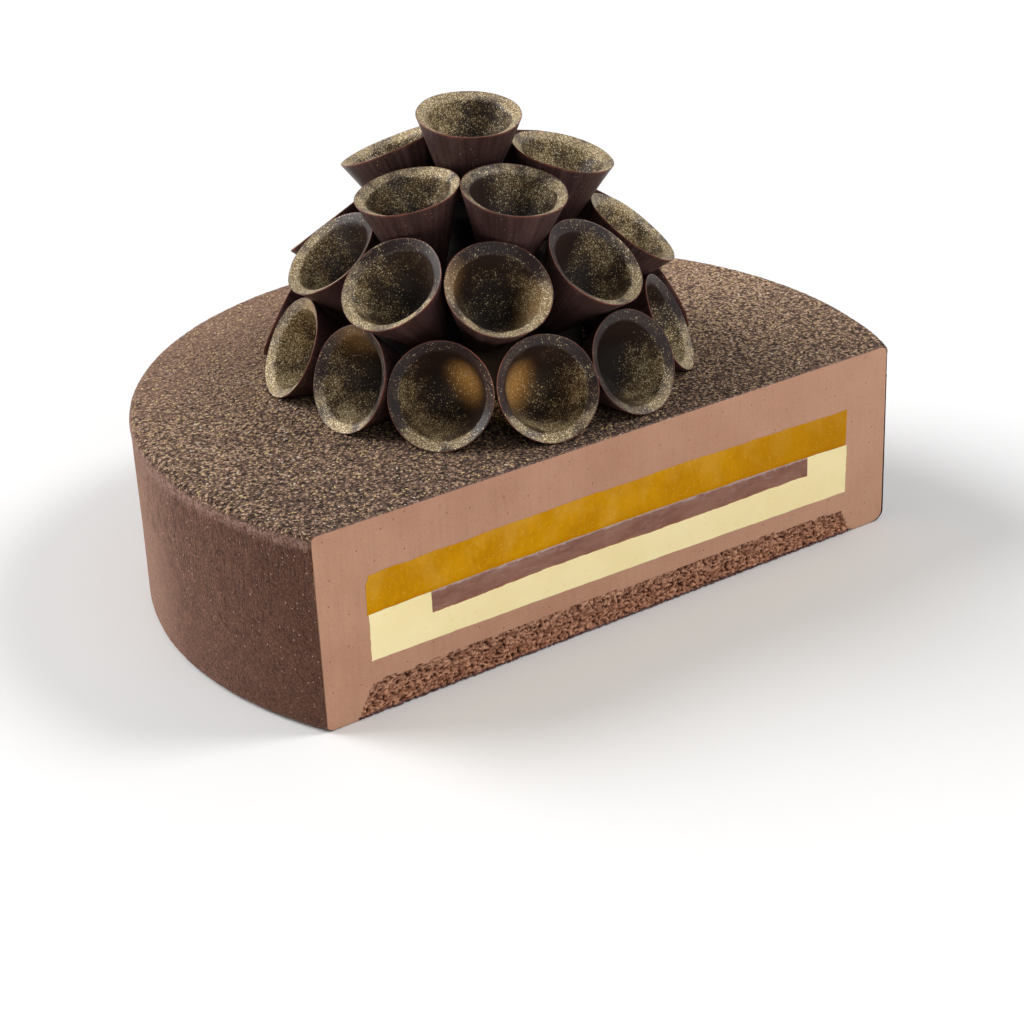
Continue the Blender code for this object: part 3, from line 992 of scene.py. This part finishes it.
def velvetFinish():
    finish = paint("cocoa_velvet", Roughness=0.9, Specular_IOR_Level=0.12, Sheen_Weight=0.16,
                   Sheen_Roughness=0.5, Sheen_Tint=(1.0, 0.80, 0.68, 1))
    place = finish.place()
    right, back, upright = (finish.parts(place, axis) for axis in range(3))
    onTop = finish.between(upright, cakeTop - 1.5 * mm, cakeTop - 0.4 * mm)
    away = finish.vectors('DISTANCE', finish.stretch(place, (1, 1, 0)), (moundX, moundY, 0))
    broad = finish.noise(place, 12 * mm)
    nearby = finish.between(back, -30 * mm, 50 * mm, 1.0, 0.4)
    # on top: small grains of uneven lightness, darker towards the gaps between grains and lumps as
    # painted shade, gold dust that thins out from the mound
    apart = finish.cells(place, velvet["grain"])
    own = finish.cells(place, velvet["grain"], output=1)
    lump = 1 - finish.cells(place, velvet["lump"])
    # the darker borders of the cells and the lumps are painted shade in the gaps between grains
    share = finish.parts(own, 0) * 0.55 + (1 - apart) * 0.30 + finish.own("rise") * 0.15
    # painted shade on the top towards the cut, and painted light towards the right
    before = finish.between(back, frontY, 5 * mm, 0.11, 0.0)
    paintedLightRight = finish.between(right, 10 * mm, 70 * mm, 0.0, 0.08)
    share = 0.5 + (share + (lump - 0.55) * 0.7 - 0.46 - before + paintedLightRight) * nearby
    finish.ground(finish.between(share, 0.22, 0.50), velvet["topDark"], velvet["topMiddle"])
    dusted = finish.between(away + broad * 22 * mm, 30 * mm, 78 * mm, 1.0, 0.15)
    golden = finish.between(finish.parts(own, 1) + dusted * 0.5, 0.6, 1.15)
    finish.lay(finish.between(share, 0.50, 0.85),
               finish.blend(golden, velvet["topLight"], velvet["goldLight"]))
    bright = finish.between(finish.parts(own, 2) + dusted * 0.02, 0.975, 0.99)
    finish.lay(bright * 0.75, velvet["brightGrain"])
    # tiny near-white cells: painted glints
    paintedGlint = finish.between(finish.parts(own, 2), 0.004, 0.006, 1.0, 0.0) * nearby
    finish.lay(paintedGlint * 0.8, velvet["paintedGlint"])
    tops = finish.colour
    # on the wall: a finer grain with dark pits and a few upright streaks in its upper part, painted
    # light towards the back and painted shade near the cut
    drawn = finish.stretch(place, (1, 1, 0.7))
    ownWall = finish.cells(drawn, velvet["wallGrain"], output=1)
    cloud = finish.noise(place, 3 * mm, detail=4)
    grain = (finish.parts(ownWall, 0) * 0.5 + (1 - finish.cells(drawn, velvet["wallGrain"])) * 0.3
             + (cloud - 0.5) * 0.5)
    streak = finish.noise(finish.stretch(place, (1, 1, 0.2)), 0.8 * mm, detail=2)
    finish.ground(finish.between(grain, 0.12, 0.45), velvet["wallDark"], velvet["wallMiddle"])
    finish.lay(finish.between(grain, 0.50, 0.85), velvet["wallLight"])
    # paler towards the back of the wall: painted light
    finish.lay(finish.between(back, -28 * mm, 2 * mm, 0.0, 0.38), velvet["wallPaintedLight"])
    # darker towards the cut: painted shade
    finish.lay(finish.between(back, frontY, frontY + 45 * mm, 0.42, 0.0), velvet["wallDark"])
    pit = finish.between(finish.parts(ownWall, 1), 0.93, 0.96)
    upper = finish.between(upright, 0.35 * cakeTop, 0.8 * cakeTop)
    stroke = finish.between(streak, 0.54, 0.66) * upper
    finish.lay((stroke * 0.5 + pit * 0.5).atMost(0.9), velvet["wallDark"])
    band = finish.between(upright + broad * 2 * mm, cakeTop - 3.4 * mm, cakeTop - 0.8 * mm)
    finish.lay(band * 0.75, finish.blend(finish.between(grain, 0.15, 0.60),
                                         velvet["wallMiddle"], velvet["rosy"]))
    finish.lay(onTop, tops)
    near = finish.between(finish.cells(place, velvet["fleckSize"]), 0.14, 0.34, 1.0, 0.0)
    luck = finish.parts(finish.cells(place, velvet["fleckSize"], output=1), 0)
    beside = finish.between(back, frontY, frontY + 22 * mm, 0.04, 0.0)
    fleck = finish.between(luck + beside, 0.935, 0.985) * near * (1 - onTop)
    finish.lay(fleck * 0.6, velvet["fleck"])
    # a rosy line along the coat's cut edge: painted highlight
    finish.lay(finish.own("cutEdge") * onTop * 0.5, velvet["rosy"])
    relief = (onTop * ((1 - apart) * 0.8 * mm + lump * 1.3 * mm) * nearby
              + (grain * 0.4 * mm - stroke * 0.2 * mm) * (1 - onTop))
    return finish.finished(relief, 1.0, 1.0)


def mousseFinish():
    finish = paint("mousse_cut", Roughness=0.7, Subsurface_Weight=0.10,
                   Subsurface_Scale=0.0015, Specular_IOR_Level=0.25)
    place = finish.place()
    broad = finish.noise(place, 14 * mm, detail=4)
    streak = finish.noise(finish.stretch(place, (1, 1, 0.06)), 0.8 * mm, detail=2)
    fine, blotch = finish.noise(place, 0.4 * mm), finish.noise(place, 2.2 * mm)
    finish.ground(finish.between(broad, 0.3, 0.7), (176, 131, 107), (186, 142, 117))
    finish.lay(finish.between(streak, 0.45, 0.75) * 0.22, (156, 112, 92))
    finish.lay(finish.between(fine, 0.35, 0.8) * 0.3, (188, 147, 124))
    finish.lay(finish.between(blotch, 0.60, 0.74) * 0.25, (164, 106, 86))
    finish.lay(finish.between(finish.parts(place, 0), -30 * mm, 80 * mm) * 0.4, (202, 158, 132))
    # pores, pinholes and dimples, darker inside as painted shade
    relief = finish.layDots(((6.4 * mm, 0.036, 0.6, 0.7, (96, 56, 44), -1.2),
                             (1.3 * mm, 0.13, 0.35, 0.45, (132, 86, 68), -0.5),
                             (0.7 * mm, 0.24, 0.3, 0.22, (136, 92, 74), -0.3)),
                            fine * 0.6 + streak * 0.25)
    return finish.finished(relief, 0.07 * mm, 0.6)


def jellyFinish():
    finish = paint("jelly_amber", Roughness=0.5, Subsurface_Weight=0.08,
                   Subsurface_Scale=0.0015, Specular_IOR_Level=0.04)
    place, up = finish.place(), finish.own("up")
    broad = finish.noise(place, 9 * mm, detail=4)
    mottle = finish.noise(finish.stretch(place, (1, 1, 0.6)), 0.9 * mm, detail=4)
    haze = finish.noise(finish.stretch(place, (0.7, 1, 0.5)), 5 * mm, detail=4)
    finish.ground(finish.between(broad, 0.3, 0.7), (184, 126, 0), (200, 142, 0))
    finish.lay(finish.between(mottle, 0.42, 0.78) * 0.4, (214, 158, 10))
    finish.lay(finish.between(haze + up * 0.22, 0.56, 0.80) * 0.45, (206, 154, 58))
    finish.lay(finish.between(finish.parts(place, 0), 15 * mm, 60 * mm) * 0.4, (174, 116, 0))
    finish.lay(finish.between(up, 0.0, 0.16, 1.0, 0.0) * 0.35, (168, 104, 0))
    relief = finish.layDots(((2.1 * mm, 0.09, 0.6, 0.18, (240, 216, 150), 0.5),
                             (0.8 * mm, 0.16, 0.4, 0.2, (224, 180, 80), 0.0)), mottle * 0.7)
    return finish.finished(relief, 0.05 * mm, 0.4)


def creamFinish():
    finish = paint("vanilla_cream", Roughness=0.55, Subsurface_Weight=0.10,
                   Subsurface_Scale=0.002, Specular_IOR_Level=0.2)
    place = finish.place()
    finish.ground(finish.between(finish.noise(place, 12 * mm), 0.3, 0.7),
                  (246, 229, 174), (250, 235, 184))
    relief = finish.layDots(((3.4 * mm, 0.12, 0.45, 0.22, (238, 200, 100), 0.0),),
                            finish.noise(place, 0.6 * mm, detail=2))
    return finish.finished(relief, 0.03 * mm, 0.3)


def insertFinish():
    finish = paint("chocolate_insert", Roughness=0.55, Subsurface_Weight=0.06,
                   Subsurface_Scale=0.001, Specular_IOR_Level=0.25)
    place, up = finish.place(), finish.own("up")
    broad = finish.noise(finish.stretch(place, (0.35, 1, 1)), 3 * mm, detail=4, distortion=0.6)
    haze = finish.noise(finish.stretch(place, (0.3, 1, 1)), 1.1 * mm, detail=5, distortion=1.2)
    finish.ground(finish.between(broad, 0.3, 0.7), (124, 82, 68), (142, 102, 87))
    high = finish.between(up, 0.25, 1.0)
    finish.lay(finish.between(haze + high * 0.10, 0.52, 0.80) * 0.4, (166, 138, 136))
    # a pale line above, a painted highlight, and a golden line below
    finish.lay(finish.between(up + haze * 0.3, 1.02, 1.14) * 0.6, (196, 176, 172))
    finish.lay(finish.between(up, 0.0, 0.07, 1.0, 0.0) * 0.55, (186, 116, 60))
    return finish.finished(haze, 0.05 * mm, 0.4)


def crumbFinish():
    finish = paint("sponge_crumb", Roughness=0.95, Specular_IOR_Level=0.2)
    place = finish.place()
    upright = finish.parts(place, 2)
    height = finish.own("rise") * 0.85 + finish.noise(place, 0.3 * mm) * 0.4
    broad = finish.noise(place, 3 * mm)
    upper = finish.between(upright + broad * 4 * mm, 4.6 * mm, 9.6 * mm) * 0.4
    chance = finish.parts(finish.cells(place, 1.1 * mm, output=1), 0)
    # darker in the pores between crumbs: painted shade; lighter on the crumbs' tops: partly their
    # own colour, partly painted highlight
    finish.ground(finish.between(height, 0.20, 0.52), (52, 30, 25),
                  finish.blend(upper, (136, 90, 68), (132, 96, 78)))
    finish.lay(finish.between(height, 0.5, 0.95),
               finish.blend(upper, (200, 150, 122), (188, 152, 128)))
    finish.lay(finish.between(chance, 0.75, 0.95) * 0.4, (96, 58, 46))
    finish.lay(finish.between(upright, 0.35 * mm, 0.8 * mm, 1.0, 0.0) * 0.8, (82, 58, 64))
    return finish.finished(height, 0.16 * mm, 0.7)


gold = {
    "speck": 0.17 * mm, "sparkle": 0.32 * mm, "film": (92, 72, 42), "lipFilm": (166, 149, 130),
    "dim": (126, 101, 60), "bright": (250, 236, 196), "paintedGlow": (196, 142, 72),
    "bare": (44, 31, 28), "paintedShadeDeep": (23, 15, 10), "bareLip": (36, 22, 23),
    "outside": (84, 60, 59), "outsideDark": (55, 38, 37), "scuff": (106, 82, 82),
    "rimLine": (160, 84, 60),
}


def cupFinish():
    finish = paint("cup_chocolate", Specular_IOR_Level=0.32)
    place, around = finish.own("own", 1), finish.own("around", 1)
    inside, lip, rim, dustLightShade, deep, paintedGlow = (
        finish.own(name) for name in ("inside", "lip", "rim", "dustLightShade", "deep", "paintedGlow"))
    cloud = finish.between(finish.noise(place, 5 * mm, detail=4), 0.36, 0.64)
    cover = (dustLightShade * (0.35 + cloud) + paintedGlow * 0.4).atMost(0.9)
    speck = finish.cells(place, gold["speck"], output=1)
    fleck = finish.between(finish.parts(speck, 0) + cover * 1.05, 1.0, 1.08)
    sparkle = finish.cells(place, gold["sparkle"], output=1)
    paintedGlint = (finish.between(finish.parts(sparkle, 0) + cover * 0.2, 1.02, 1.06)
             * finish.between(finish.cells(place, gold["sparkle"]), 0.30, 0.50, 1.0, 0.0))
    film = finish.between(cover, 0.04, 0.85, 0.0, 0.7)
    streak = finish.noise(finish.stretch(around, (1, 1, 0.03)), 0.6 * mm)
    scuff = finish.noise(finish.stretch(around, (1, 1, 0.12)), 4 * mm)
    # bare chocolate darker towards the hollow's bottom: painted shade
    bare = finish.blend(deep, gold["bare"], gold["paintedShadeDeep"])
    # upright streaks on the outside: partly the chocolate's own streaks, partly painted sheen
    finish.ground(finish.between(streak, 0.32, 0.78), gold["outsideDark"], gold["outside"])
    finish.lay(finish.between(scuff, 0.50, 0.72) * 0.35, gold["scuff"])
    finish.lay(inside, finish.blend(lip, bare, gold["bareLip"]))
    finish.lay(film, finish.blend(lip, gold["film"], gold["lipFilm"]))
    # amber laid in the hollow: painted glow
    finish.lay(paintedGlow * 0.7, gold["paintedGlow"])
    # gold flecks from dim to near white: partly the dust's own colour, partly painted glints
    finish.lay(fleck * 0.8, finish.blend(finish.between(finish.parts(speck, 1), 0.55, 1.0),
                                         gold["dim"], gold["bright"]))
    # the brightest specks: painted glints on the gold dust
    finish.lay(paintedGlint, gold["bright"])
    # a reddish line along the sharp rim: painted highlight
    finish.lay(rim * finish.between(scuff, 0.35, 0.6, 0.25, 0.9), gold["rimLine"])
    metal = (fleck * 0.35 + paintedGlint * 0.3).atMost(0.6)
    rough = (0.32 + film * 0.4 + lip * 0.08 + (1 - inside) * 0.06 + deep * 0.4
             + paintedGlow * 0.1)
    relief = fleck * 0.6 + paintedGlint + streak * (1 - inside) * 0.4
    return finish.finished(relief, 0.06 * mm, 0.5, Metallic=metal, Roughness=rough)


def domeFinish():
    finish = paint("dome_chocolate_painted_shade", Roughness=0.8, Specular_IOR_Level=0.15)
    broad = finish.noise(finish.place(), 4 * mm, detail=4)
    # darker than the cups' chocolate: painted shade
    finish.ground(finish.between(broad, 0.3, 0.7), (18, 12, 11), (28, 19, 17))
    return finish.finished(broad, 0.3 * mm, 0.5)


print("finishes")
cocoaVelvet, cupChocolate = velvetFinish(), cupFinish()
standIn(moussePiece, mousseFinish(), "cocoa_velvet", "mousse")
for piece in topPieces + [sidePiece]:
    standIn(piece, cocoaVelvet, "cocoa_velvet")
standIn(jellyPiece, jellyFinish(), "fruit_jelly", "fruit_jelly")
standIn(creamPiece, creamFinish(), "vanilla_cream", "cream")
standIn(insertPiece, insertFinish(), "chocolate_insert", "chocolate_insert")
standIn(spongePiece, crumbFinish(), "crumb", "sponge")
standIn(domePiece, domeFinish(), "chocolate_core", "mound_core")
for node, piece in cupPieces.items():
    standIn(piece, cupChocolate, "dark_chocolate", node)


# floor, light and camera
studio = {
    "camera": (-0.27685, -0.41910, 0.25090), "lens": 78.14, "sensor": 36,
    "raised": 26.4155, "rolled": -1.8827,      # degrees, fitted to the cake's edges
    "floorSize": 8.0, "floorHeight": -0.2 * mm, "floorGrain": 0.4,
    "behindWorld": 0.66, "frontWorld": 0.15, "topWorld": 0.34,
    # large soft lamps far away: direction, width in degrees, power
    "far": {"key_light": ((-0.56, 0.70, 0.60), 40, 3.1),
            "right_light": ((0.80, -0.42, 0.95), 20, 1.4),
            "fill_light": ((-0.05, -0.90, 0.45), 60, 0.60)},
    # warm lamps low before the cake: place, aim, power, colour
    "low": {"left_glow": ((-0.36, -0.20, 0.02), (-0.02, -0.03, 0.07), 0.16, (1.0, 0.78, 0.52)),
            "right_glow": ((0.12, -0.36, 0.02), (0.0, -0.04, 0.07), 0.08, (1.0, 0.74, 0.42))},
    "lowSize": 0.16,
    # narrow warm lamps on a cup's first patch of painted amber glow: cup, width in degrees, power
    "spots": {"left_spot": ("cup_low_08", 2.3, 3.36), "right_spot": ("cup_low_09", 2.8, 4.2)},
    "spotAway": 0.4, "spotSize": 2 * mm, "spotColour": (1.0, 0.84, 0.58),
}


def makeFloor():
    bpy.ops.mesh.primitive_plane_add(size=studio["floorSize"],
                                     location=(0, 0, studio["floorHeight"]))
    floor = nameIt("studio_floor")
    finish = paint("studio_pale", Roughness=0.7, Specular_IOR_Level=0.1)
    grain = finish.noise(finish.place(), studio["floorGrain"], detail=1)
    finish.ground(grain * 0.05, (228, 228, 228), (224, 224, 224))
    wear(floor, finish.give(Base_Color=finish.colour))


def addLamp(kind, name, spot, back, power):
    # a lamp that shines away from the direction it is turned back to
    bpy.ops.object.light_add(type=kind, location=spot)
    lamp = bpy.context.object
    lamp.name = name
    lamp.data.energy = power
    lamp.rotation_euler = back.to_track_quat('Z', 'Y').to_euler()
    return lamp.data


def makeLamps():
    for name, (toward, wide, power) in studio["far"].items():
        addLamp('SUN', name, toward, Vector(toward), power).angle = math.radians(wide)
    for name, (spot, aim, power, colour) in studio["low"].items():
        lamp = addLamp('AREA', name, spot, Vector(spot) - Vector(aim), power)
        lamp.shape, lamp.size, lamp.color = 'DISK', studio["lowSize"], colour
    for name, (node, wide, power) in studio["spots"].items():
        middle = next(paintedGlowPatches(node))[0]
        toward = (Vector(studio["camera"]) - middle).normalized() * studio["spotAway"]
        lamp = addLamp('SPOT', name, middle + toward, toward, power)
        lamp.spot_size, lamp.spot_blend = math.radians(wide), 1.0
        lamp.shadow_soft_size, lamp.color = studio["spotSize"], studio["spotColour"]


def makeWorld():
    # brightest behind the cake, darkest behind the camera
    world = bpy.data.worlds.new("studio_white")
    bpy.context.scene.world = world
    sky = Finish(world, "Background")
    toward = sky.node("ShaderNodeTexCoord", {}, {})
    away = sky.vectors('DOT_PRODUCT', toward, asSeen(0, -1, 0))
    behind = sky.between(away, -0.55, 0.65, studio["frontWorld"], studio["behindWorld"])
    overhead = sky.between(sky.parts(toward, 2), 0.55, 0.95)
    sky.give(Color=(1, 1, 1, 1), Strength=behind + overhead * (studio["topWorld"] - behind))


def makeCamera():
    raised, rolled = math.radians(studio["raised"]), math.radians(studio["rolled"])
    back = asSeen(0, math.cos(raised), math.sin(raised))
    level = asSeen(1, 0, 0)
    rise = back.cross(level)
    right = level * math.cos(rolled) + rise * math.sin(rolled)
    up = rise * math.cos(rolled) - level * math.sin(rolled)
    bpy.ops.object.camera_add(location=studio["camera"])
    camera = bpy.context.object
    camera.name = "view_camera"
    camera.rotation_euler = Matrix((right, up, back)).transposed().to_euler()
    camera.data.lens, camera.data.sensor_width = studio["lens"], studio["sensor"]
    camera.data.clip_start, camera.data.clip_end = 0.01, 20
    bpy.context.scene.camera = camera


print("studio")
makeFloor()
makeWorld()
makeLamps()
makeCamera()
bpy.context.scene.view_settings.view_transform = 'Standard'

print("done")
